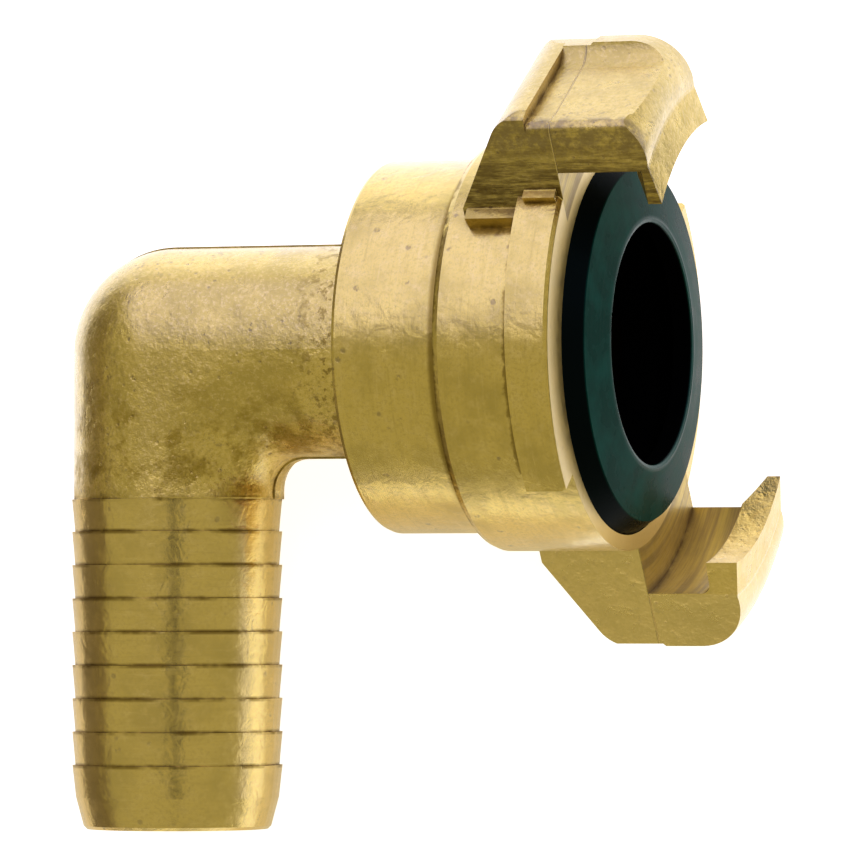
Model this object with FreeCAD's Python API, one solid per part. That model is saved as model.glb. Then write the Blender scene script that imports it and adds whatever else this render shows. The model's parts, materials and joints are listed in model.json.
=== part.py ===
"""Angled claw coupling for a 19 mm hose: a brass elbow whose head swivels.

Units are millimetres. The piece is drawn on two axes and then laid on its side:
the hose tail runs along -Y, the swivel axis along +X, and both meet in the corner
of the elbow. Lengths along the swivel axis are measured from that corner. Radii
build up from the elbow outwards, one wall or clearance after the other.
"""
import FreeCAD, Part
import math
import os

from FreeCAD import Matrix, Placement, Rotation, Vector

# hose tail, measured down the tail
tail_shoulder = 13.7        # corner of the elbow to the first turned edge
shoulder_band = 2.95        # turned band above the first barb
barb_pitch = 3.05
barb_count = 7
barb_depth = 0.28
lead_in_length = 5.85       # smooth end of the tail
lead_in_belly = 0.33        # drop of its outline at half length
lead_in_drop = 1.03         # and at its end
lead_in_chamfer = 0.3

# forged elbow
elbow_r = 9.63              # its barrels, and the tail over its barbs
inner_corner_r = 3.0        # fillet in the crook of the elbow
forging_drop = 0.35         # the forged skin sits this much below the turned journal
forging_shift = 0.2         # and this much off the turned tail, towards the head
flash_width = 1.3           # trimmed parting line of the forging
flash_height = 0.12
flash_stop = 0.3            # the line ends this far behind the collar
drill_point = 118.0         # point angle of the drilled holes

# swivel journal
journal_step = 0.63         # elbow's skin down to the journal
journal_wall = 2.4          # journal down to the waterway
journal_chamfer = 0.6
running_clearance = 0.05    # radial, journal in its bore
neck_reach = 0.85           # how far the forged neck enters the collar
neck_clearance = 0.15       # radial, lowered neck in the collar's counterbore
washer_thick = 0.8
washer_clearance = 0.25     # radial, washer in the counterbore
axial_play = 0.1
o_ring_width = 1.9
o_ring_chamfer = 0.45
o_ring_side_gap = 0.15
o_ring_groove_depth = 1.25
o_ring_seat_gap = 0.02
o_ring_inset = 2.7          # washer to the middle of the first groove
o_ring_spacing = 4.2
o_ring_count = 2
ring_thick = 1.15           # retaining ring
ring_groove_depth = 0.6
ring_groove_slack = 0.1
ring_width = 2.6
ring_gap_angle = 26.0
journal_past_ring = 1.5     # journal's end beyond the retaining ring
lug_r = 1.35                # eyes for the pliers
lug_hole_r = 0.6
lug_proud = 0.675

# coupling head, outwards
chamber_gap = 1.725         # eyes of the retaining ring to the water chamber's wall
seal_seat = 3.74            # chamber's wall to the seal pocket's wall
face_wall = 1.41            # brass round the seal pocket
collar_step = 1.63          # body down to the collar
rim_height = 2.45           # body up to the cam rim

# coupling head, along the axis
collar_back = 21.76
collar_length = 10.08
collar_edge = 0.4
body_length = 11.93
body_edge_r = 0.75
chamber_depth = 5.0
seal_pocket_depth = 4.87

# cam rim
rim_thick = 3.9
rim_edge = 0.35
rim_ramp = 0.5              # rise of the cam flank over its length
rim_sweep = 97.0            # claw's middle line to the open end of the rim
stop_angle = 22.5           # small stop on the rim beside each claw
stop_height = 0.65
stop_inset = 0.45
root_pad_angle = 25.0       # forged pad beside each claw, from its middle line
root_pad_height = 1.45
root_pad_inset = 0.4

# claws
claw_turn = 32.6            # turn of the claws' line out of the elbow's plane
claw_width = 14.7
hook_grip = 1.0             # the hook reaches this far inside the rim
hook_floor_gap = 2.1        # rim up to the hook's floor
claw_thick = 5.4            # hook's floor up to the top of the far rib
hook_reach = 6.1            # coupling face to the hook's inner wall
hook_thick = 2.95
hook_wall_draft = 0.15
hook_corner_r = 0.9
claw_root_length = 9.57     # coupling face back to the foot of the claw's back
claw_back_lean = 29.2
claw_back_round = 3.2       # roll of the back into the claw's top
claw_back_drop = 0.9        # far rib's top down to the top behind the panel
parting_ahead = 0.4         # parting line of the claw, ahead of the coupling face
parting_step = 0.25
nose_start = 1.87           # hook's wall back to where the nose turns down
nose_mid_ahead = 1.55
nose_mid_drop = 1.75
nose_low_ahead = 2.35
nose_low_drop = 5.05
panel_back = 2.2            # flat panel on the claw's top starts behind the coupling face
panel_drop = 1.9            # far rib's top down to the panel
far_rib_width = 1.75
far_rib_round = 2.5         # hollow foot of the far rib's inner wall
near_rib_width = 1.0
near_rib_height = 0.15
near_rib_slope = 0.25
near_edge_round = 0.9
lead_in_face = 1.7          # face on the hook's wall that guides the rim in
lead_in_run = 3.2

# seal ring
seal_gap = 0.05
seal_edge_sunk = 0.15       # outer edge below the coupling face
seal_crease_ahead = 1.7     # crease of the face, ahead of the coupling face
seal_crease_in = 1.24       # pocket's wall in to the crease
seal_lip_ahead = 2.55
seal_lip_reach = 2.6        # chamber's wall in to the lip's bore
seal_lip_thick = 1.9
seal_lip_round = 0.35
seal_back_reach = 1.0       # chamber's wall in to the seal's back
seal_groove_out = 0.2       # chamber's wall out to the pressure groove
seal_groove_width = 1.7
seal_groove_front_run = 0.5
seal_groove_back_run = 0.8

# pieces that are fused reach this far into each other, and cuts this far past a face
overlap = 1.0

# radii that follow
barb_crest_r = elbow_r
barb_root_r = barb_crest_r - barb_depth
journal_r = elbow_r - journal_step
waterway_r = journal_r - journal_wall
bore_r = journal_r + running_clearance
counterbore_r = elbow_r + forging_drop + neck_clearance
o_ring_groove_r = journal_r - o_ring_groove_depth
ring_groove_r = journal_r - ring_groove_depth
ring_outer_r = journal_r - ring_groove_depth + ring_width
lug_outer_r = ring_outer_r + lug_proud
chamber_r = lug_outer_r + chamber_gap
seal_pocket_r = chamber_r + seal_seat
body_r = seal_pocket_r + face_wall
collar_r = body_r - collar_step
rim_r = body_r + rim_height
hook_tip_r = rim_r - hook_grip
hook_floor_r = rim_r + hook_floor_gap
claw_outer_r = hook_floor_r + claw_thick

# places along the tail and the swivel axis that follow
first_notch = tail_shoulder + shoulder_band
last_notch = first_notch + barb_count * barb_pitch
tail_end = last_notch + lead_in_length
neck_end = collar_back + neck_reach
washer_front = neck_end + washer_thick
counterbore_floor = washer_front + axial_play
body_back = collar_back + collar_length
face_at = body_back + body_length
pocket_floor = face_at - seal_pocket_depth
chamber_floor = pocket_floor - chamber_depth
ring_back = chamber_floor + axial_play
journal_end = ring_back + ring_thick + journal_past_ring
o_ring_middles = [washer_front + o_ring_inset + i * o_ring_spacing for i in range(o_ring_count)]
rim_back = face_at - rim_thick
hook_wall = face_at + hook_reach
nose_at = hook_wall + hook_thick
claw_foot = face_at - claw_root_length

# the piece lies on the tail's side and on the rounded back edge of the collar
edge_reach = math.hypot(collar_r - collar_edge, collar_back + collar_edge)
edge_rise = math.atan2(collar_back + collar_edge, collar_r - collar_edge)
rest_tilt = math.acos((elbow_r - collar_edge) / edge_reach) - edge_rise


def turned(outline, angle=360.0):
    """A closed outline of edges, turned about the swivel axis."""
    return Part.Face(Part.Wire(outline)).revolve(Vector(0, 0, 0), Vector(1, 0, 0), angle)


def chain(*items):
    """Edges through (along, radius) points; a triple of points stands for an arc."""
    def place(p):
        return Vector(p[0], p[1], 0)

    edges = []
    last = items[-1]
    here = last[2] if len(last) == 3 else last
    for item in items:
        arc = item if len(item) == 3 else None
        there = arc[0] if arc else item
        if place(here).distanceToPoint(place(there)) > 1e-6:
            edges.append(Part.makeLine(place(here), place(there)))
        if arc:
            edges.append(Part.Arc(*[place(p) for p in arc]).toShape())
        here = arc[2] if arc else item
    return edges


def corner_arc(before, corner, after, radius):
    """Start, middle and end of the arc that rounds one corner of an outline."""
    c = Vector(corner[0], corner[1], 0)
    to_a = (Vector(before[0], before[1], 0) - c).normalize()
    to_b = (Vector(after[0], after[1], 0) - c).normalize()
    half = to_a.getAngle(to_b) / 2.0
    run = radius / math.tan(half)
    start = c + to_a * run
    end = c + to_b * run
    middle = c + (to_a + to_b).normalize() * (radius / math.sin(half) - radius)
    return ((start.x, start.y), (middle.x, middle.y), (end.x, end.y))


def ring(start, end, inner_r, outer_r):
    """A plain turned ring about the swivel axis."""
    return turned(chain((start, inner_r), (start, outer_r), (end, outer_r), (end, inner_r)))


def disc(start, end, radius):
    """A plain cylinder about the swivel axis."""
    return Part.makeCylinder(radius, end - start, Vector(start, 0, 0), Vector(1, 0, 0))


def sector(outline, start_deg, sweep_deg):
    """A turned outline that covers only part of the circle, from +Y towards +Z."""
    part = turned(chain(*outline), angle=sweep_deg)
    part.rotate(Vector(0, 0, 0), Vector(1, 0, 0), start_deg)
    return part


def side_prism(outline, width):
    """An outline of (along, height) points, as wide as given on both sides of the middle."""
    part = Part.Face(Part.Wire(chain(*outline))).extrude(Vector(0, 0, width))
    part.translate(Vector(0, 0, -width / 2))
    return part


def front_prism(outline, start, end):
    """An outline of (across, height) points, drawn out along the swivel axis."""
    prism = Part.Face(Part.Wire(chain(*outline))).extrude(Vector(0, 0, start - end))
    prism.rotate(Vector(0, 0, 0), Vector(0, 1, 0), -90)
    prism.translate(Vector(start, 0, 0))
    return prism


def barbed_tail():
    """The turned tail: a shoulder, sharp barbs and a tapered lead-in."""
    outline = [(tail_shoulder, 0), (tail_shoulder, barb_crest_r), (first_notch, barb_root_r)]
    for i in range(barb_count):
        crest = first_notch + i * barb_pitch
        outline += [(crest, barb_crest_r), (crest + barb_pitch, barb_root_r)]
    end_r = barb_crest_r - lead_in_drop
    outline += [
        (last_notch, barb_crest_r),
        (last_notch + lead_in_length / 2, barb_crest_r - lead_in_belly),
        (tail_end - lead_in_chamfer, end_r),
        (tail_end, end_r - lead_in_chamfer),
        (tail_end, 0)]
    tail = turned(chain(*outline))
    tail.rotate(Vector(0, 0, 0), Vector(0, 0, 1), -90)
    return tail


def crook_web():
    """The forged fillet in the crook: a bend of the full tube, and the flat between it and the corner."""
    bend_r = inner_corner_r + elbow_r
    tube = Part.Face(Part.Wire(Part.makeCircle(elbow_r, Vector(bend_r, 0, 0), Vector(0, 1, 0))))
    bend = tube.revolve(Vector(0, 0, 0), Vector(0, 0, 1), 90)
    bend.rotate(Vector(0, 0, 0), Vector(0, 0, 1), 90)
    bend.translate(Vector(bend_r, -bend_r, 0))
    flat = Part.makeBox(bend_r, bend_r, 2 * elbow_r, Vector(0, -bend_r, -elbow_r))
    round_off = Part.makeCylinder(bend_r, 2 * elbow_r, Vector(bend_r, -bend_r, -elbow_r))
    return flat.cut(round_off).fuse(bend)


def flash_line():
    """The trimmed parting line that runs round the forging in the elbow's plane."""
    high = elbow_r + flash_height
    low = -flash_width / 2
    plate = Part.makeCylinder(high, flash_width, Vector(0, 0, low))
    down = Part.makeBox(2 * high, tail_shoulder - forging_drop, flash_width,
                        Vector(-high, forging_drop - tail_shoulder, low))
    along = Part.makeBox(collar_back - flash_stop - forging_shift, 2 * high, flash_width, Vector(0, -high, low))
    crook = inner_corner_r - flash_height
    fill = Part.makeBox(crook, crook, flash_width, Vector(high, -high - crook, low))
    hollow = Part.makeCylinder(crook, flash_width, Vector(high + crook, -high - crook, low))
    return plate.fuse([down, along, fill.cut(hollow)])


def forged_skin():
    """The elbow as forged: two barrels, the ball on their corner and the crook's fillet."""
    down = Part.makeCylinder(elbow_r, tail_shoulder - forging_drop, Vector(0, 0, 0), Vector(0, -1, 0))
    skin = disc(0, neck_end - forging_shift, elbow_r).fuse([down, Part.makeSphere(elbow_r), crook_web(), flash_line()])
    skin.translate(Vector(forging_shift, -forging_drop, 0))
    return skin


def drilled(length, direction):
    """A hole drilled from an open end to the corner, with the point of its drill."""
    point = waterway_r / math.tan(math.radians(drill_point / 2))
    hole = Part.makeCylinder(waterway_r, length + overlap, Vector(0, 0, 0), direction)
    return hole.fuse(Part.makeCone(waterway_r, 0, point, Vector(0, 0, 0), direction * -1))


def hose_elbow():
    """Forged elbow, turned tail and turned journal, drilled through from both ends."""
    journal = turned(chain(
        (neck_end - overlap, 0), (neck_end - overlap, journal_r), (journal_end - journal_chamfer, journal_r),
        (journal_end, journal_r - journal_chamfer), (journal_end, 0)))
    body = forged_skin().fuse([journal, barbed_tail()])
    cuts = [drilled(tail_end, Vector(0, -1, 0)), drilled(journal_end, Vector(1, 0, 0))]
    half = o_ring_width / 2 + o_ring_side_gap
    for middle in o_ring_middles:
        cuts.append(ring(middle - half, middle + half, o_ring_groove_r, journal_r + overlap))
    slack = ring_groove_slack / 2
    cuts.append(ring(ring_back - slack, ring_back + ring_thick + slack, ring_groove_r, journal_r + overlap))
    return body.cut(cuts).removeSplitter()


def o_ring(middle):
    """A squeezed O-ring that fills its groove up to the journal's surface."""
    low = o_ring_groove_r + o_ring_seat_gap
    high = journal_r
    a = middle - o_ring_width / 2
    b = middle + o_ring_width / 2
    c = o_ring_chamfer
    return turned(chain(
        (a, low + c), (a, high - c), (a + c, high), (b - c, high),
        (b, high - c), (b, low + c), (b - c, low), (a + c, low)))


def thrust_washer():
    """The flat washer between the neck's shoulder and the head."""
    return ring(neck_end, washer_front, bore_r, counterbore_r - washer_clearance)


def retaining_ring():
    """The open spring ring on the journal, with two eyes for the pliers."""
    band = ring(ring_back, ring_back + ring_thick, ring_groove_r + ring_groove_slack / 2, ring_outer_r)
    half = math.radians(ring_gap_angle / 2)
    reach = ring_outer_r + overlap
    gap = [(0, 0), (-reach * math.tan(half), reach), (reach * math.tan(half), reach)]
    band = band.cut(front_prism(gap, ring_back - overlap, ring_back + ring_thick + overlap))
    for side in (-1, 1):
        turn = side * (half + math.asin(lug_r / ring_outer_r))
        place_r = lug_outer_r - lug_r
        spot = Vector(ring_back, place_r * math.cos(turn), place_r * math.sin(turn))
        band = band.fuse(Part.makeCylinder(lug_r, ring_thick, spot, Vector(1, 0, 0)))
        band = band.cut(Part.makeCylinder(lug_hole_r, ring_thick, spot, Vector(1, 0, 0)))
    return band.removeSplitter()


def face_seal():
    """The rubber face seal with a raised lip and a pressure groove behind it."""
    outer = seal_pocket_r - seal_gap
    crease = (face_at + seal_crease_ahead, seal_pocket_r - seal_crease_in)
    bore = chamber_r - seal_lip_reach
    lip = face_at + seal_lip_ahead
    lip_back = lip - seal_lip_thick
    groove_r = chamber_r + seal_groove_out
    groove_back = lip_back - seal_groove_width
    back_r = chamber_r - seal_back_reach
    return turned(chain(
        (pocket_floor, back_r), (pocket_floor, outer), (face_at - seal_edge_sunk, outer),
        crease, *corner_arc(crease, (lip, bore), (lip_back, bore), seal_lip_round),
        (lip_back, bore), (lip_back - seal_groove_front_run, groove_r),
        (groove_back, groove_r), (groove_back - seal_groove_back_run, back_r)))


def claw():
    """One claw, standing up along +Y with its leading side towards +Z."""
    inner = body_r - overlap
    back_r = claw_outer_r - parting_step
    parting = face_at + parting_ahead
    nose_arc = (
        (hook_wall - nose_start, claw_outer_r),
        (hook_wall + nose_mid_ahead, claw_outer_r - nose_mid_drop),
        (hook_wall + nose_low_ahead, claw_outer_r - nose_low_drop))
    floor_corner = corner_arc(
        (hook_wall, hook_tip_r), (hook_wall - hook_wall_draft, hook_floor_r),
        (face_at, hook_floor_r), hook_corner_r)
    block = turned(chain(
        (claw_foot, inner), (claw_foot, back_r), (parting, back_r), (parting + parting_step, claw_outer_r),
        nose_arc, (nose_at, hook_tip_r), (hook_wall, hook_tip_r), floor_corner,
        (face_at, hook_floor_r), (face_at, inner)))
    slab = Part.makeBox(nose_at, claw_outer_r, claw_width, Vector(0, 0, -claw_width / 2))
    return block.common(slab).cut([behind_claw(), over_panel(), lead_in_wedge()])


def behind_claw():
    """What is missing behind the leaning back, and above the roll into the claw's top."""
    lean = math.tan(math.radians(claw_back_lean))
    inner = body_r - overlap
    top = claw_outer_r - claw_back_drop
    above = claw_outer_r + overlap
    behind = claw_foot - 2 * overlap
    start = (claw_foot - overlap * lean, inner)
    edge = (claw_foot + (top - body_r) * lean, top)
    end = (face_at - panel_back, top)
    roll = corner_arc(start, edge, end, claw_back_round)
    return side_prism([(behind, inner), start, roll, end, (end[0], above), (behind, above)], claw_width + overlap)


def over_panel():
    """What is missing above the flat panel: a tall rib stays on one side and a low one on the other."""
    side = claw_width / 2
    panel = claw_outer_r - panel_drop
    crest = panel + near_rib_height
    above = claw_outer_r + overlap
    far = far_rib_width - side
    near = side - near_rib_width - near_edge_round
    wall = corner_arc((far, above), (far, panel), (near, panel), far_rib_round)
    edge = corner_arc((near, crest), (side, crest), (side, crest - near_edge_round), near_edge_round)
    return front_prism([
        wall, (near, panel), (near + near_rib_slope, crest), edge, (side + overlap, edge[2][1]),
        (side + overlap, above), (far, above)], face_at - panel_back, nose_at + overlap)


def lead_in_wedge():
    """The slanting face on the hook's wall that guides the other rim in."""
    side = claw_width / 2
    slope = lead_in_face / lead_in_run
    wedge = Part.Face(Part.makePolygon([
        Vector(hook_wall, 0, side - lead_in_run),
        Vector(hook_wall + slope * (lead_in_run + overlap), 0, side + overlap),
        Vector(hook_wall - overlap, 0, side + overlap),
        Vector(hook_wall - overlap, 0, side - lead_in_run),
        Vector(hook_wall, 0, side - lead_in_run),
    ])).extrude(Vector(0, hook_floor_r, 0))
    return wedge.common(disc(face_at, nose_at, hook_floor_r))


def cam_rim():
    """One length of the rim that the other half's claw grips, with its sloping back flank."""
    edge = corner_arc((face_at, body_r), (face_at, rim_r), (rim_back, rim_r), rim_edge)
    inner = body_r - overlap
    back = rim_back - rim_ramp
    rim = sector([(face_at, inner), edge[0], edge[2], (back, rim_r), (back, inner)], 0, rim_sweep)
    middle = (rim_sweep + math.degrees(math.asin(claw_width / 2 / rim_r))) / 2
    rise = rim_ramp / (2 * rim_r * math.sin(math.radians(rim_sweep - middle)))
    size = 4 * rim_r
    flank = Part.makeBox(size, size, size, Vector(-size, -size / 2, -size / 2))
    flank.rotate(Vector(0, 0, 0), Vector(0, 1, 0), math.degrees(math.atan(rise)))
    flank.rotate(Vector(0, 0, 0), Vector(1, 0, 0), middle)
    flank.translate(Vector(rim_back, 0, 0))
    return rim.cut(flank)


def root_pad():
    """The forged pad that thickens the foot of a claw on its leading side."""
    start = claw_foot + root_pad_inset
    low = body_r - overlap
    high = body_r + root_pad_height
    end = rim_back + overlap
    return sector([(start, low), (start, high), (end, high), (end, low)], 0, root_pad_angle)


def rim_stop():
    """The small stop on the rim beside a claw."""
    start = rim_back + stop_inset
    low = rim_r - overlap
    high = rim_r + stop_height
    end = face_at - stop_inset
    return sector([(start, low), (start, high), (end, high), (end, low)], 0, stop_angle)


def head_core():
    """Collar and body of the head, turned in one."""
    collar_corner = corner_arc((collar_back, 0), (collar_back, collar_r), (body_back, collar_r), collar_edge)
    body_corner = corner_arc((body_back, collar_r), (body_back, body_r), (face_at, body_r), body_edge_r)
    return turned(chain(
        (collar_back, 0), *collar_corner, (body_back, collar_r), *body_corner,
        (face_at, body_r), (face_at, 0)))


def coupling_head():
    """Collar, body, two claws and two lengths of cam rim, turned and bored as one piece."""
    added = []
    for half_turn in (0, 180):
        for piece in (claw(), cam_rim(), root_pad(), rim_stop()):
            piece.rotate(Vector(0, 0, 0), Vector(1, 0, 0), claw_turn + half_turn)
            added.append(piece)
    bores = [
        disc(collar_back - overlap, counterbore_floor, counterbore_r),
        disc(collar_back, pocket_floor, bore_r),
        disc(chamber_floor, face_at, chamber_r),
        disc(pocket_floor, face_at + overlap, seal_pocket_r),
    ]
    return head_core().fuse(added).cut(bores).removeSplitter()


def laid_down(shapes):
    """Tilt the swivel axis up until the collar's edge touches, and centre the whole."""
    tilt = Placement(Vector(0, 0, 0), Rotation(Vector(0, 1, 0), -math.degrees(rest_tilt)))
    for shape in shapes.values():
        shape.transformShape(tilt.toMatrix())
    whole = Part.makeCompound(list(shapes.values())).optimalBoundingBox(False)
    shift = Matrix()
    shift.move(Vector(-whole.Center.x, -whole.Center.y, elbow_r))
    for shape in shapes.values():
        shape.transformShape(shift)
    return shift.multiply(Vector(0, 0, 0))


def main():
    shapes = {
        "hose_elbow": hose_elbow(),
        "thrust_washer": thrust_washer(),
        "rear_o_ring": o_ring(o_ring_middles[0]),
        "front_o_ring": o_ring(o_ring_middles[-1]),
        "retaining_ring": retaining_ring(),
        "coupling_head": coupling_head(),
        "face_seal": face_seal(),
    }
    corner = laid_down(shapes)
    print("corner of the elbow", [round(v, 4) for v in corner], "tilt", round(math.degrees(rest_tilt), 4))
    os.makedirs("parts", exist_ok=True)
    for name, shape in shapes.items():
        print(name, "valid", shape.isValid(), "solids", len(shape.Solids), "volume", round(shape.Volume, 1),
              "lowest", round(shape.optimalBoundingBox(False).ZMin, 3))
        shape.exportStep("parts/" + name + ".step")


main()
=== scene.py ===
"""Studio picture of an angled claw coupling: materials, light, floor and camera.

Lengths in the materials are millimetres; everything else is in metres.
"""
import json
import math

import bpy
from mathutils import Matrix, Vector


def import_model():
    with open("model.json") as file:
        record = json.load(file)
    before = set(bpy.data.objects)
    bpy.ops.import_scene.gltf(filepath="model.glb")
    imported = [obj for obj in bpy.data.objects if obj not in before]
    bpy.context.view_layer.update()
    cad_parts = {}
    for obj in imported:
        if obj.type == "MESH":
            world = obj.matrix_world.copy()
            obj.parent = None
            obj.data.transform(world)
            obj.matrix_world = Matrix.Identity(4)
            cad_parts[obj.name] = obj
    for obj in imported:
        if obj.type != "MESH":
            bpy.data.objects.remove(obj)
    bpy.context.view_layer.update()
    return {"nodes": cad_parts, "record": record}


MM = 0.001
UP = Vector((0.0, 1.0, 0.0))        # away from the hose tail

# places along the swivel axis, in mm from the elbow's corner
JOURNAL_BORE_AT = 10.0
HEAD_BORE_AT = 20.0
NECK_END = 22.6
JOINT_AT = 30.0
BODY_BACK = 31.84
RIM_BACK = 39.87
FACE_AT = 43.77
SEAL_LIP_BACK = 44.42
HOOK_WALL = 49.87

# radii round the swivel axis, in mm
JOURNAL_R = 9.0
SEAL_BORE_R = 10.8
CHAMBER_R = 13.4
SEAL_GROOVE_R = 14.0
SEAL_CREASE_R = 15.9
HEAD_ARC_R = 18.0                   # stands for all of the head's radii in its tool lines
BODY_R = 18.55
HOOK_FLOOR_R = 23.1
CLAW_TOP_R = 28.5

# the hose tail: its radius, and places along it, in mm from the elbow's corner
TAIL_R = 9.6
TAIL_SHOULDER = 13.7
FIRST_NOTCH = 16.65
BARB_PITCH = 3.05
LAST_NOTCH = 38.0

# the claws and the rim between them, in mm from the swivel axis
CLAW_TURN = math.radians(32.6)      # the claws' line out of the upright
CLAW_HALF_WIDTH = 7.35
CLAW_FOOT = 12.0
RIM_OPEN_END = -2.4

# how the photograph was taken
VIEW_TURN = math.radians(21.02)     # swivel axis out of the picture plane
VIEW_PITCH = math.radians(-1.12)
VIEW_ROLL = math.radians(0.10)
VIEW_OFFSET = Vector((23.01, -7.15, 733.6)) * MM
LENS = 336.45

# brass, as linear colours
BRASS_PALE = (0.86, 0.64, 0.22)
BRASS = (0.76, 0.55, 0.105)
BRASS_OLIVE = (0.54, 0.385, 0.048)
BRASS_BROWN = (0.20, 0.125, 0.026)
BRASS_DARK = (0.11, 0.07, 0.014)
# painted shade: near black for the inside of the bores
PAINTED_BORE_SHADE = (0.035, 0.022, 0.008)

# cards that the brass mirrors
CARD_SHADE = (0.26, 0.21, 0.10)
CARD_WARM = (0.90, 0.80, 0.56)
CARD_DARK = (0.08, 0.08, 0.06)
CARD_BLACK = (0.02, 0.02, 0.015)
CARD_LIFT = 0.0005                  # above the floor


def read_places(frame):
    """The elbow's corner and the swivel axis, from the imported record."""
    joint = frame["record"]["behaviour"]["joints"][0]
    axis = Vector(joint["axis"]).normalized()
    corner = Vector(joint["pos_m"]) - axis * JOINT_AT * MM
    return corner, axis


class Shader:
    """One material whose nodes are added in reading order."""

    def __init__(self, name):
        self.material = bpy.data.materials.new(name)
        self.material.use_nodes = True
        self.tree = self.material.node_tree
        self.bsdf = self.tree.nodes["Principled BSDF"]

    def add(self, kind, **settings):
        node = self.tree.nodes.new(kind)
        for key, value in settings.items():
            setattr(node, key, value)
        return node

    def put(self, socket, value):
        """Link an output, or set a plain number, vector or colour."""
        if isinstance(value, bpy.types.NodeSocket):
            self.tree.links.new(value, socket)
        elif socket.type == "RGBA":
            socket.default_value = (*value, 1.0)
        else:
            socket.default_value = value

    def surface(self, name, value):
        """Give the surface one of its properties."""
        self.put(self.bsdf.inputs[name], value)

    def math(self, operation, a, b=0.0, c=0.0):
        node = self.add("ShaderNodeMath", operation=operation)
        for socket, value in zip(node.inputs, (a, b, c)):
            self.put(socket, value)
        return node.outputs[0]

    def times(self, first, *others):
        """Product of several masks."""
        for other in others:
            first = self.math("MULTIPLY", first, other)
        return first

    def most(self, first, *others):
        """Largest of several masks."""
        for other in others:
            first = self.math("MAXIMUM", first, other)
        return first

    def rest(self, mask):
        """1 where the mask is 0, and 0 where it is 1."""
        return self.math("SUBTRACT", 1.0, mask)

    def blend(self, mask, a, b):
        """Plain number a where the mask is 0, b where it is 1."""
        return self.math("ADD", self.math("MULTIPLY", mask, self.math("SUBTRACT", b, a)), a)

    def dot(self, vector, direction):
        node = self.add("ShaderNodeVectorMath", operation="DOT_PRODUCT")
        self.put(node.inputs[0], vector)
        self.put(node.inputs[1], direction)
        return node.outputs["Value"]

    def ease(self, value, low, high, start=0.0, end=1.0):
        """A smooth step from start to end as the value goes from low to high."""
        node = self.add("ShaderNodeMapRange", interpolation_type="SMOOTHSTEP")
        self.put(node.inputs["Value"], value)
        self.put(node.inputs["From Min"], low)
        self.put(node.inputs["From Max"], high)
        self.put(node.inputs["To Min"], start)
        self.put(node.inputs["To Max"], end)
        return node.outputs[0]

    def noise(self, vector, per_mm, detail=2.0, roughness=0.5, distortion=0.0):
        node = self.add("ShaderNodeTexNoise")
        self.put(node.inputs["Vector"], vector)
        self.put(node.inputs["Scale"], per_mm)
        self.put(node.inputs["Detail"], detail)
        self.put(node.inputs["Roughness"], roughness)
        self.put(node.inputs["Distortion"], distortion)
        return node.outputs["Fac"]

    def cells(self, vector, per_mm):
        """Distance to the nearest of scattered points."""
        node = self.add("ShaderNodeTexVoronoi")
        self.put(node.inputs["Vector"], vector)
        self.put(node.inputs["Scale"], per_mm)
        return node.outputs["Distance"]

    def combine(self, x, y, z=0.0):
        node = self.add("ShaderNodeCombineXYZ")
        for socket, value in zip(node.inputs, (x, y, z)):
            self.put(socket, value)
        return node.outputs[0]

    def mix(self, mask, a, b):
        """Colour a where the mask is 0, b where it is 1."""
        node = self.add("ShaderNodeMix", data_type="RGBA")
        self.put(node.inputs["Factor"], mask)
        for name, value in (("A", a), ("B", b)):
            self.put(next(s for s in node.inputs if s.name == name and s.type == "RGBA"), value)
        return next(s for s in node.outputs if s.type == "RGBA")

    def bump(self, height, depth_mm):
        node = self.add("ShaderNodeBump")
        self.put(node.inputs["Height"], height)
        self.put(node.inputs["Distance"], depth_mm * MM)
        self.put(node.inputs["Strength"], 1.0)
        return node.outputs[0]

    def crevice(self, reach_mm):
        """1 in the open, falling towards 0 in the corner between two faces."""
        node = self.add("ShaderNodeAmbientOcclusion", samples=8, only_local=True)
        self.put(node.inputs["Distance"], reach_mm * MM)
        return node.outputs["AO"]

    def place(self, corner):
        """The point on the part in mm from the elbow's corner."""
        coordinate = self.add("ShaderNodeTexCoord").outputs["Object"]
        shift = self.add("ShaderNodeVectorMath", operation="SUBTRACT")
        self.put(shift.inputs[0], coordinate)
        self.put(shift.inputs[1], corner)
        grow = self.add("ShaderNodeVectorMath", operation="SCALE")
        self.put(grow.inputs[0], shift.outputs[0])
        self.put(grow.inputs["Scale"], 1.0 / MM)
        return grow.outputs[0]


class Place:
    """Sockets that say where a point of the part is, in mm from the elbow's corner.

    point: in the frame's directions; along, up, across: along the swivel axis and square to it;
    radius, turn: round that axis; raised, beside: along and across the line through both claws.
    """

    def __init__(self, shader, corner, axis):
        s = shader
        across = axis.cross(UP)
        claw = UP * math.cos(CLAW_TURN) + across * math.sin(CLAW_TURN)
        beside = across * math.cos(CLAW_TURN) - UP * math.sin(CLAW_TURN)
        self.point = s.place(corner)
        self.along = s.dot(self.point, axis)
        self.up = s.dot(self.point, UP)
        self.across = s.dot(self.point, across)
        self.raised = s.dot(self.point, claw)
        self.beside = s.dot(self.point, beside)
        squared = s.math("ADD", s.times(self.up, self.up), s.times(self.across, self.across))
        self.radius = s.math("SQRT", squared)
        self.turn = s.math("ARCTAN2", self.across, self.up)


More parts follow.
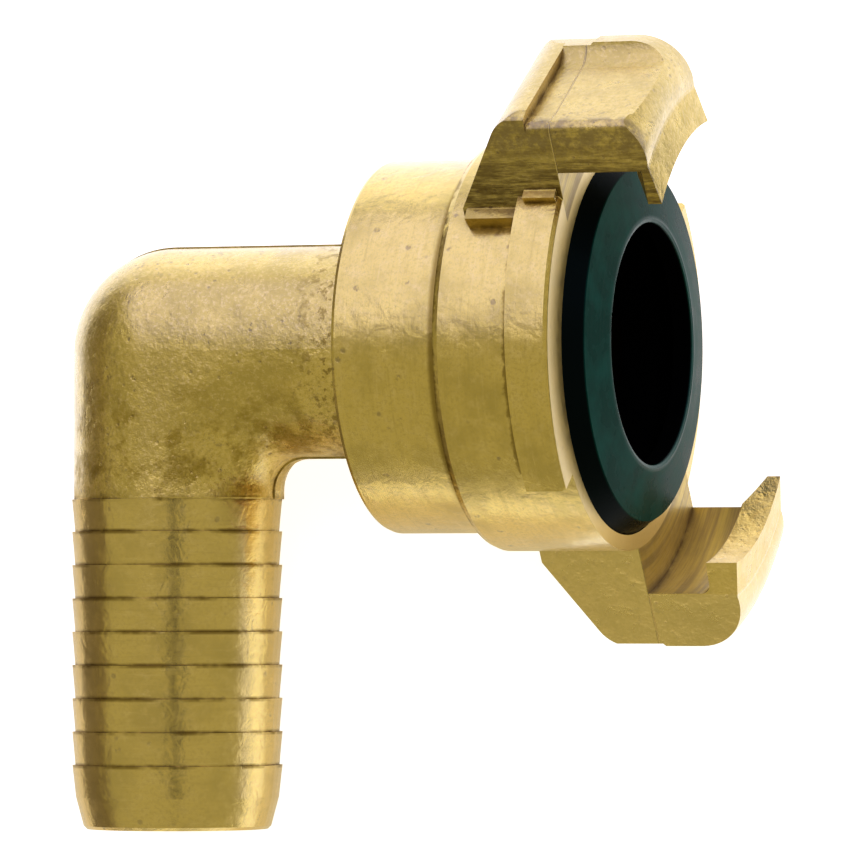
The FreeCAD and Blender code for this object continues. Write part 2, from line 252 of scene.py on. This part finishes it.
def forged_skin(s, point):
    """Colour, height and roughness of a hot forging: lumps, sandy grain, pits and stains."""
    broad = s.noise(point, 0.13, 3.0, 0.6)
    lumps = s.noise(point, 0.45, 4.0, 0.6)
    grain = s.noise(point, 2.6, 3.0, 0.75)
    pocked = s.ease(s.noise(point, 0.2, 3.0, 0.6), 0.46, 0.60)
    pits = s.times(s.ease(s.cells(point, 1.05), 0.26, 0.08), pocked, s.ease(grain, 0.42, 0.55))
    specks = s.times(
        s.ease(s.noise(point, 1.1, 5.0, 0.75), 0.56, 0.66), s.ease(broad, 0.40, 0.56))

    colour = s.mix(s.ease(broad, 0.34, 0.62), BRASS_OLIVE, BRASS)
    colour = s.mix(s.ease(grain, 0.48, 0.70, 0.0, 0.6), colour, BRASS_PALE)
    colour = s.mix(s.ease(grain, 0.52, 0.34, 0.0, 0.7), colour, BRASS_OLIVE)
    colour = s.mix(s.times(specks, 0.5), colour, BRASS_BROWN)
    colour = s.mix(s.times(pits, 0.5), colour, BRASS_BROWN)

    height = s.math("MULTIPLY_ADD", lumps, 0.8, s.times(grain, 0.15))
    height = s.math("MULTIPLY_ADD", pits, -0.22, height)
    return colour, height, s.ease(lumps, 0.35, 0.65, 0.27, 0.40)


def turned_skin(s, point, lines, arc):
    """Colour, height and roughness of a turned surface: tool lines, dents and a worn bloom.

    The tool lines lie side by side as lines grows, and each runs on as arc grows.
    """
    mottle = s.noise(point, 0.9, 4.0, 0.65)
    grain = s.noise(point, 3.2, 3.0, 0.75)
    cuts = s.noise(s.combine(lines, s.times(arc, 0.05)), 1.7, 5.0, 0.85)
    dents = s.noise(point, 0.55, 2.0, 0.5, 0.6)
    nick = s.times(s.ease(s.cells(point, 0.42), 0.16, 0.07), s.ease(mottle, 0.45, 0.55))

    colour = s.mix(s.ease(s.noise(point, 0.16, 3.0, 0.6), 0.30, 0.60), BRASS_OLIVE, BRASS)
    colour = s.mix(s.ease(mottle, 0.48, 0.70, 0.0, 0.35), colour, BRASS_PALE)
    colour = s.mix(s.ease(grain, 0.52, 0.36, 0.0, 0.5), colour, BRASS_OLIVE)
    colour = s.mix(s.ease(cuts, 0.50, 0.72, 0.0, 0.7), colour, BRASS_OLIVE)
    colour = s.mix(s.ease(cuts, 0.46, 0.30, 0.0, 0.5), colour, BRASS_PALE)
    colour = s.mix(s.times(nick, 0.6), colour, BRASS_BROWN)

    height = s.math("MULTIPLY_ADD", cuts, 0.07, s.times(dents, 0.36))
    height = s.math("MULTIPLY_ADD", mottle, 0.10, height)
    height = s.math("MULTIPLY_ADD", grain, 0.03, height)
    height = s.math("MULTIPLY_ADD", nick, -0.08, height)
    return colour, height, s.ease(mottle, 0.35, 0.65, 0.18, 0.27)


def brass_finish(s, colour, roughness, normal, dirt_and_shade):
    """Metal under a clear sheen, which dirt and painted shade take away."""
    s.surface("Base Color", colour)
    s.surface("Metallic", 1.0)
    s.surface("Roughness", roughness)
    s.surface("Normal", normal)
    s.surface("Coat Weight", s.math("MULTIPLY_ADD", dirt_and_shade, -0.9, 1.0))
    s.surface("Coat Roughness", 0.26)
    s.surface("Coat IOR", 1.75)
    return s.material


def elbow_brass(corner, axis):
    """Forged elbow with a turned tail and journal, with shade painted into its notches, its
    corners and its journal's bore.
    """
    s = Shader("elbow_brass")
    p = Place(s, corner, axis)
    down = s.dot(p.point, -UP)
    tail = s.ease(down, TAIL_SHOULDER - 0.12, TAIL_SHOULDER + 0.02)
    journal = s.ease(p.along, NECK_END - 0.1, NECK_END)
    turned = s.most(tail, journal)
    arc = s.times(s.math("ARCTAN2", p.across, p.along), TAIL_R)
    cast_colour, cast_height, cast_rough = forged_skin(s, p.point)
    clean_colour, clean_height, clean_rough = turned_skin(
        s, p.point, s.blend(tail, p.along, down), arc)
    clean_colour = s.mix(0.3, clean_colour, BRASS_PALE)

    towards_crook = s.ease(p.up, -1.0, -9.0)
    towards_collar = s.ease(p.along, 12.0, 20.0)
    stain = s.times(s.ease(s.noise(p.point, 0.3, 4.0, 0.7), 0.48, 0.62), towards_crook)
    flecks = s.times(s.ease(s.noise(p.point, 0.9, 5.0, 0.75), 0.52, 0.58), towards_collar)
    cast_colour = s.mix(s.times(stain, 0.5), cast_colour, BRASS_BROWN)
    cast_colour = s.mix(s.times(flecks, 0.75), cast_colour, BRASS_BROWN)

    # painted shade: brown lines along the tail's notches and at its shoulder, in patches
    to_notch = s.math("PINGPONG", s.math("SUBTRACT", down, FIRST_NOTCH), BARB_PITCH / 2)
    to_shoulder = s.math("ABSOLUTE", s.math("SUBTRACT", down, TAIL_SHOULDER))
    on_line = s.ease(s.math("MINIMUM", to_notch, to_shoulder), 0.34, 0.08)
    patchy = s.ease(s.noise(p.point, 0.28, 3.0, 0.6), 0.38, 0.58)
    from_shoulder = s.ease(down, TAIL_SHOULDER - 0.5, TAIL_SHOULDER - 0.3)
    to_last_notch = s.ease(down, LAST_NOTCH + 0.7, LAST_NOTCH + 0.5)
    notch_shade = s.times(on_line, patchy, from_shoulder, to_last_notch)
    clean_colour = s.mix(s.times(notch_shade, 0.8), clean_colour, BRASS_BROWN)
    cast_colour = s.mix(s.times(notch_shade, 0.7), cast_colour, BRASS_BROWN)

    # painted shade: brown where ambient occlusion finds a corner between faces, uneven in patches
    corner_shade = s.times(
        s.ease(s.crevice(1.2), 0.80, 0.50),
        s.ease(s.noise(p.point, 0.35, 4.0, 0.7), 0.36, 0.56, 0.2, 0.9))
    # painted shade: the inside of the journal's bore near black
    journal_bore_shade = s.times(
        s.ease(p.radius, JOURNAL_R + 0.2, JOURNAL_R - 0.4),
        s.ease(p.along, JOURNAL_BORE_AT, JOURNAL_BORE_AT + 2.0))
    colour = s.mix(turned, cast_colour, clean_colour)
    colour = s.mix(corner_shade, colour, BRASS_BROWN)
    colour = s.mix(journal_bore_shade, colour, PAINTED_BORE_SHADE)

    roughness = s.blend(turned, cast_rough, clean_rough)
    height = s.blend(turned, cast_height, clean_height)
    forged_dirt = s.times(s.most(flecks, stain), s.rest(turned))
    dirt_and_shade = s.most(notch_shade, corner_shade, journal_bore_shade, forged_dirt)
    return brass_finish(s, colour, roughness, s.bump(height, 0.30), dirt_and_shade)


def head_zones(s, p):
    """Masks of the head's forged skin, of the hooks' turned floors and of the coupling face."""
    end = s.math("ABSOLUTE", p.beside)
    outside = s.ease(p.radius, BODY_R, BODY_R + 0.1)
    in_width = s.ease(end, CLAW_HALF_WIDTH + 0.2, CLAW_HALF_WIDTH + 0.05)
    behind_face = s.ease(p.along, FACE_AT - 0.02, FACE_AT - 0.1)
    from_face = s.ease(p.along, FACE_AT - 0.05, FACE_AT - 0.01)
    ahead = s.ease(p.along, FACE_AT + 0.02, FACE_AT + 0.1)
    hook_reach = s.ease(p.radius, HOOK_FLOOR_R + 0.1, HOOK_FLOOR_R + 0.04)
    before_wall = s.ease(p.along, HOOK_WALL + 0.08, HOOK_WALL + 0.03)
    not_end = s.ease(end, CLAW_HALF_WIDTH - 0.01, CLAW_HALF_WIDTH - 0.05)
    gripped = s.times(ahead, hook_reach, before_wall, not_end)
    cast = s.most(s.times(outside, in_width, behind_face), s.math("SUBTRACT", ahead, gripped))
    hook = s.most(gripped, s.times(outside, from_face, in_width, hook_reach))
    return cast, hook, s.times(from_face, s.rest(cast))


def claw_shade(s, p, colour):
    """The claws' colour, with painted shade dark and streaked on the upper one's side and painted
    light on the lower one, and the mask of that painted side shade.
    """
    out = s.math("ABSOLUTE", p.raised)
    # painted shade: the upper claw's side darkened and streaked, most towards its foot, darkest
    # near the hook floor
    side = s.times(
        s.ease(p.raised, CLAW_FOOT, CLAW_FOOT + 1.0),
        s.ease(p.radius, BODY_R, BODY_R + 0.1),
        s.ease(p.beside, CLAW_HALF_WIDTH - 0.25, CLAW_HALF_WIDTH - 0.05),
        s.ease(p.beside, CLAW_HALF_WIDTH + 0.2, CLAW_HALF_WIDTH + 0.05))
    towards_foot = s.ease(out, CLAW_TOP_R - 1.5, CLAW_TOP_R - 9.5, 0.3, 1.0)
    streaks = s.noise(s.combine(p.raised, s.times(p.along, 0.12)), 1.3, 4.0, 0.8)
    side_shade = s.times(side, towards_foot, s.ease(streaks, 0.36, 0.60, 0.15, 1.0))
    deepest_side_shade = s.times(side_shade, s.ease(out, HOOK_FLOOR_R + 2.4, HOOK_FLOOR_R - 0.6, 0.0, 0.7))
    # painted light: the lower claw made paler than the upper one
    lit_lower_claw = s.ease(p.raised, -CLAW_FOOT, -CLAW_FOOT - 2.0, 0.0, 0.5)
    # painted shade: brown in patches along the upper claw's near rib
    rib_shade = s.times(
        s.ease(p.beside, CLAW_HALF_WIDTH - 1.5, CLAW_HALF_WIDTH - 0.7),
        s.ease(p.raised, CLAW_TOP_R - 5.5, CLAW_TOP_R - 4.0),
        s.ease(s.noise(p.point, 0.9, 4.0, 0.7), 0.36, 0.58), 0.7)
    colour = s.mix(side_shade, colour, BRASS_BROWN)
    colour = s.mix(deepest_side_shade, colour, BRASS_DARK)
    colour = s.mix(lit_lower_claw, colour, BRASS_PALE)
    return s.mix(rib_shade, colour, BRASS_BROWN), side_shade


def painted_foot_shade(s, p):
    """Mask of painted shade at the rim's foot, at the step behind it and on the pads by the
    claws.
    """
    ragged = s.math("MULTIPLY_ADD", s.noise(p.point, 0.5, 4.0, 0.7), 1.6, p.along)
    rim_reach = s.times(p.raised, s.math("SIGN", p.beside))
    # painted shade: brown at the rim's foot, at the step behind it and on the pads under the
    # claws' foot
    foot_shade = s.times(
        s.ease(rim_reach, RIM_OPEN_END, RIM_OPEN_END + 0.3),
        s.ease(ragged, RIM_BACK - 0.5, RIM_BACK - 0.1),
        s.ease(ragged, RIM_BACK + 1.3, RIM_BACK + 1.0),
        s.ease(p.radius, BODY_R + 1.6, BODY_R + 0.4),
        s.ease(p.radius, BODY_R - 0.3, BODY_R - 0.1))
    step_shade = s.times(
        s.ease(p.along, BODY_BACK - 1.0, BODY_BACK - 0.5),
        s.ease(ragged, BODY_BACK + 1.3, BODY_BACK + 1.0),
        s.ease(p.radius, BODY_R + 0.3, BODY_R))
    pad_shade = s.times(
        s.ease(p.radius, BODY_R + 0.05, BODY_R + 0.2),
        s.ease(s.math("ABSOLUTE", p.beside), CLAW_HALF_WIDTH, CLAW_HALF_WIDTH + 0.1),
        s.ease(p.along, RIM_BACK - 0.3, RIM_BACK - 0.6), 0.6)
    return s.most(foot_shade, step_shade, pad_shade)


def head_brass(corner, axis):
    """Turned collar, body, rim and hooks; forged claws, the upper one with a side darkened by
    painted shade, the lower one paler by painted light.
    """
    s = Shader("head_brass")
    p = Place(s, corner, axis)
    cast, hook, plane = head_zones(s, p)
    slant = s.math("SUBTRACT", p.along, p.radius)
    cast_colour, cast_height, cast_rough = forged_skin(s, p.point)
    cast_colour = s.mix(0.25, cast_colour, BRASS_OLIVE)
    cast_colour, side_shade = claw_shade(s, p, cast_colour)
    clean_colour, clean_height, clean_rough = turned_skin(
        s, p.point, slant, s.times(p.turn, HEAD_ARC_R))
    rings = s.noise(s.combine(slant, s.times(p.turn, 0.8)), 0.8, 5.0, 0.75)
    dull = s.mix(s.ease(rings, 0.36, 0.64), BRASS_BROWN, BRASS_OLIVE)
    paler_face = s.ease(p.along, FACE_AT - 0.05, FACE_AT - 0.01, 0.0, 0.7)
    clean_colour = s.mix(paler_face, clean_colour, BRASS_PALE)
    clean_colour = s.mix(s.times(hook, 0.8), clean_colour, dull)

    foot_shade = painted_foot_shade(s, p)
    # painted shade: brown where ambient occlusion finds a corner between faces, uneven in patches
    corner_shade = s.times(
        s.ease(s.crevice(1.6), 0.82, 0.50),
        s.ease(s.noise(p.point, 0.4, 4.0, 0.7), 0.34, 0.56, 0.35, 0.95))
    # painted shade: the inside of the head's bore near black
    bore_shade = s.times(
        s.ease(p.radius, CHAMBER_R + 0.05, CHAMBER_R),
        s.ease(p.along, HEAD_BORE_AT, HEAD_BORE_AT + 4.0))
    colour = s.mix(cast, clean_colour, cast_colour)
    # painted shade: brown at the rim's foot, the step and the pads by the claws
    colour = s.mix(s.times(foot_shade, 0.75), colour, BRASS_BROWN)
    colour = s.mix(corner_shade, colour, BRASS_BROWN)
    colour = s.mix(bore_shade, colour, PAINTED_BORE_SHADE)

    smoother = s.rest(s.times(plane, 0.85))
    height = s.blend(cast, s.times(clean_height, smoother), cast_height)
    roughness = s.blend(cast, s.math("MULTIPLY_ADD", plane, 0.2, clean_rough), cast_rough)
    dirt_and_shade = s.most(
        foot_shade, corner_shade, bore_shade, s.times(side_shade, cast), s.times(plane, 0.2), s.times(hook, 0.7))
    return brass_finish(s, colour, roughness, s.bump(height, 0.28), dirt_and_shade)


def seal_rubber(corner, axis):
    """Dark green moulded rubber with a soft sheen and faint rings from its mould; painted shade
    makes its outer slope, its bore and the part behind its lip near black.
    """
    s = Shader("seal_rubber")
    p = Place(s, corner, axis)
    cloud = s.noise(p.point, 0.25, 3.0, 0.6)
    dust = s.noise(p.point, 2.2, 4.0, 0.7)
    rings = s.noise(s.combine(p.radius, s.times(p.turn, 0.2)), 2.4, 2.0)
    # painted shade: the seal's bore wall near black
    bore_shade = s.ease(p.radius, SEAL_BORE_R + 0.14, SEAL_BORE_R + 0.04)
    # painted shade: the seal's bore and the part behind its lip near black, with no gloss
    pocket_shade = s.times(
        s.ease(p.along, SEAL_LIP_BACK + 0.05, SEAL_LIP_BACK - 0.05),
        s.ease(p.radius, SEAL_GROOVE_R + 0.1, SEAL_GROOVE_R - 0.1))
    hollow_shade = s.most(bore_shade, pocket_shade)
    # painted shade: the seal's outer slope beyond the crease near black
    outer_slope_shade = s.ease(p.radius, SEAL_CREASE_R - 0.05, SEAL_CREASE_R + 0.1)
    lip_gloss = s.ease(p.radius, SEAL_BORE_R + 0.8, SEAL_BORE_R + 0.2, 0.03, 0.3)

    colour = s.mix(s.ease(cloud, 0.35, 0.65), (0.002, 0.032, 0.022), (0.004, 0.052, 0.038))
    colour = s.mix(s.ease(dust, 0.6, 0.8, 0.0, 0.25), colour, (0.03, 0.13, 0.10))
    colour = s.mix(outer_slope_shade, colour, (0.0015, 0.003, 0.003))
    colour = s.mix(hollow_shade, colour, (0.001, 0.001, 0.001))
    height = s.math("MULTIPLY_ADD", rings, 0.012, s.times(dust, 0.012))
    s.surface("Base Color", colour)
    s.surface("Roughness", s.ease(cloud, 0.35, 0.65, 0.26, 0.34))
    s.surface("Specular IOR Level", s.times(s.rest(hollow_shade), lip_gloss))
    s.surface("Specular Tint", (0.5, 1.0, 0.85))
    s.surface("IOR", 1.3)
    s.surface("Normal", s.bump(height, 1.0))
    return s.material


def o_ring_rubber(corner, axis):
    """Black rubber with a greasy film."""
    s = Shader("o_ring_rubber")
    p = Place(s, corner, axis)
    grease = s.noise(p.point, 0.8, 3.0, 0.6)
    greasy = s.ease(grease, 0.4, 0.7)
    s.surface("Base Color", s.mix(greasy, (0.008, 0.008, 0.008), (0.02, 0.02, 0.018)))
    s.surface("Roughness", s.ease(grease, 0.4, 0.7, 0.45, 0.25))
    s.surface("Normal", s.bump(grease, 0.03))
    return s.material


def spring_steel(corner, axis):
    """Stamped spring steel, brushed across, darkened by water."""
    s = Shader("spring_steel")
    p = Place(s, corner, axis)
    grain = s.noise(s.combine(p.up, s.times(p.across, 0.1), p.along), 5.0, 3.0, 0.6)
    film = s.ease(s.noise(p.point, 0.5, 3.0, 0.6), 0.4, 0.7)
    s.surface("Base Color", s.mix(film, (0.06, 0.06, 0.065), (0.022, 0.018, 0.014)))
    s.surface("Metallic", 1.0)
    s.surface("Roughness", s.ease(grain, 0.3, 0.7, 0.35, 0.5))
    s.surface("Normal", s.bump(grain, 0.02))
    return s.material


def washer_plastic(corner, axis):
    """Off-white slide washer, slightly waxy."""
    s = Shader("washer_plastic")
    p = Place(s, corner, axis)
    cloud = s.noise(p.point, 0.6, 3.0, 0.6)
    waxy = s.ease(cloud, 0.35, 0.7)
    s.surface("Base Color", s.mix(waxy, (0.72, 0.70, 0.63), (0.60, 0.57, 0.48)))
    s.surface("Roughness", s.ease(cloud, 0.35, 0.7, 0.4, 0.5))
    s.surface("Normal", s.bump(cloud, 0.02))
    return s.material


def dress(frame, corner, axis):
    """Give each node of the frame its material."""
    finishes = {
        "hose_elbow": elbow_brass(corner, axis),
        "coupling_head": head_brass(corner, axis),
        "face_seal": seal_rubber(corner, axis),
        "rear_o_ring": o_ring_rubber(corner, axis),
        "retaining_ring": spring_steel(corner, axis),
        "thrust_washer": washer_plastic(corner, axis),
    }
    finishes["front_o_ring"] = finishes["rear_o_ring"]
    for node, material in finishes.items():
        for slot in frame["nodes"][node].material_slots:
            slot.material = material


def rectangle(x_low, x_high, y_low, y_high, z):
    """Corners of a level rectangle that faces up."""
    return [(x_low, y_low, z), (x_high, y_low, z), (x_high, y_high, z), (x_low, y_high, z)]


def stage_sheet(name, corner_shade, material):
    """A flat sheet of the set, which is no part of the object."""
    mesh = bpy.data.meshes.new(name)
    mesh.from_pydata(corner_shade, [], [tuple(range(len(corner_shade)))])
    mesh.materials.append(material)
    sheet = bpy.data.objects.new(name, mesh)
    bpy.context.scene.collection.objects.link(sheet)
    return sheet


def floor():
    """A large white sheet that the piece lies on, glowing round the piece."""
    s = Shader("floor_white")
    point = s.place(Vector((0.0, 0.0, 0.0)))
    tone = s.ease(s.noise(point, 0.02, 2.0), 0.3, 0.7, 0.84, 0.88)
    away = s.add("ShaderNodeVectorMath", operation="LENGTH")
    s.put(away.inputs[0], point)
    s.surface("Base Color", s.combine(tone, tone, tone))
    s.surface("Roughness", 0.9)
    s.surface("Emission Color", (1.0, 1.0, 1.0))
    s.surface("Emission Strength", s.ease(away.outputs["Value"], 60.0, 200.0, 0.85, 0.3))
    half = 3.0
    stage_sheet("floor", rectangle(-half, half, -half, half, 0.0), s.material)


def flag(name, corner_shade, tone, glow=0.0):
    """A card beside the set, which only reflections see."""
    s = Shader(name)
    s.surface("Base Color", tone)
    s.surface("Roughness", 0.9)
    s.surface("Emission Color", tone)
    s.surface("Emission Strength", glow)
    card = stage_sheet(name, corner_shade, s.material)
    card.visible_camera = False
    card.visible_diffuse = False
    card.visible_shadow = False


def softbox(name, direction, distance, size, power, tint):
    """A rectangular lamp that looks at the middle of the part."""
    lamp = bpy.data.lights.new(name, "AREA")
    lamp.shape = "RECTANGLE"
    lamp.size, lamp.size_y = size
    lamp.energy = power
    lamp.color = tint
    light = bpy.data.objects.new(name, lamp)
    bpy.context.scene.collection.objects.link(light)
    away = Vector(direction).normalized()
    middle = Vector((0.0, 0.0, 0.02))
    light.location = middle + away * distance
    light.rotation_euler = away.to_track_quat("Z", "Y").to_euler()
    light.visible_camera = False


def lights():
    """A warm surround and two lamps."""
    world = bpy.data.worlds.new("studio")
    bpy.context.scene.world = world
    world.use_nodes = True
    surround = world.node_tree.nodes["Background"]
    surround.inputs["Color"].default_value = (1.0, 0.93, 0.56, 1.0)
    surround.inputs["Strength"].default_value = 0.46
    softbox(
        "top_softbox", direction=(-0.10, 0.80, 0.62), distance=0.55, size=(1.0, 0.95),
        power=2.15, tint=(0.98, 1.0, 2.1))
    softbox(
        "right_strip", direction=(1.0, 0.05, 0.0), distance=0.5, size=(0.5, 0.14),
        power=0.10, tint=(0.95, 1.0, 2.0))


def cards():
    """Dark and light cards round the part, for the brass to mirror."""
    left, beside_part, beside_collar = -0.40, -0.051, -0.064
    flag("left_floor_card", [
        (left, -0.25, CARD_LIFT), (beside_part, -0.25, CARD_LIFT),
        (beside_part, 0.047, CARD_LIFT), (beside_collar, 0.047, CARD_LIFT),
        (beside_collar, 0.30, CARD_LIFT), (left, 0.30, CARD_LIFT)], CARD_SHADE)
    flag("left_wall_card", [
        (-0.30, -0.30, 0.0), (-0.30, 0.30, 0.0),
        (-0.30, 0.30, 0.06), (-0.30, -0.30, 0.06)], CARD_SHADE)
    flag("tail_card", rectangle(beside_part, 0.012, -0.07, -0.004, CARD_LIFT), CARD_WARM, 0.30)
    flag("right_card", rectangle(0.075, 0.30, -0.012, 0.045, CARD_LIFT), CARD_DARK)
    flag("camera_card", rectangle(-0.045, 0.055, -0.35, 0.20, 0.70), CARD_BLACK)


def camera(corner, axis):
    """The camera that took the photograph, found from the object's own edges."""
    turn = Matrix.Rotation(math.asin(axis.z) - VIEW_TURN, 3, "Y")
    pitch = Matrix.Rotation(VIEW_PITCH, 3, "X")
    roll = Matrix.Rotation(VIEW_ROLL, 3, "Z")
    to_part = (roll @ pitch @ turn).transposed()
    data = bpy.data.cameras.new("camera")
    data.lens = LENS
    data.sensor_width = 36.0
    data.clip_start = 0.01
    data.clip_end = 20.0
    eye = bpy.data.objects.new("camera", data)
    bpy.context.scene.collection.objects.link(eye)
    eye.matrix_world = Matrix.Translation(corner + to_part @ VIEW_OFFSET) @ to_part.to_4x4()
    bpy.context.scene.camera = eye


def main():
    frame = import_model()
    corner, axis = read_places(frame)
    camera(corner, axis)
    dress(frame, corner, axis)
    floor()
    lights()
    cards()
    bpy.context.scene.view_settings.view_transform = "Standard"


main()
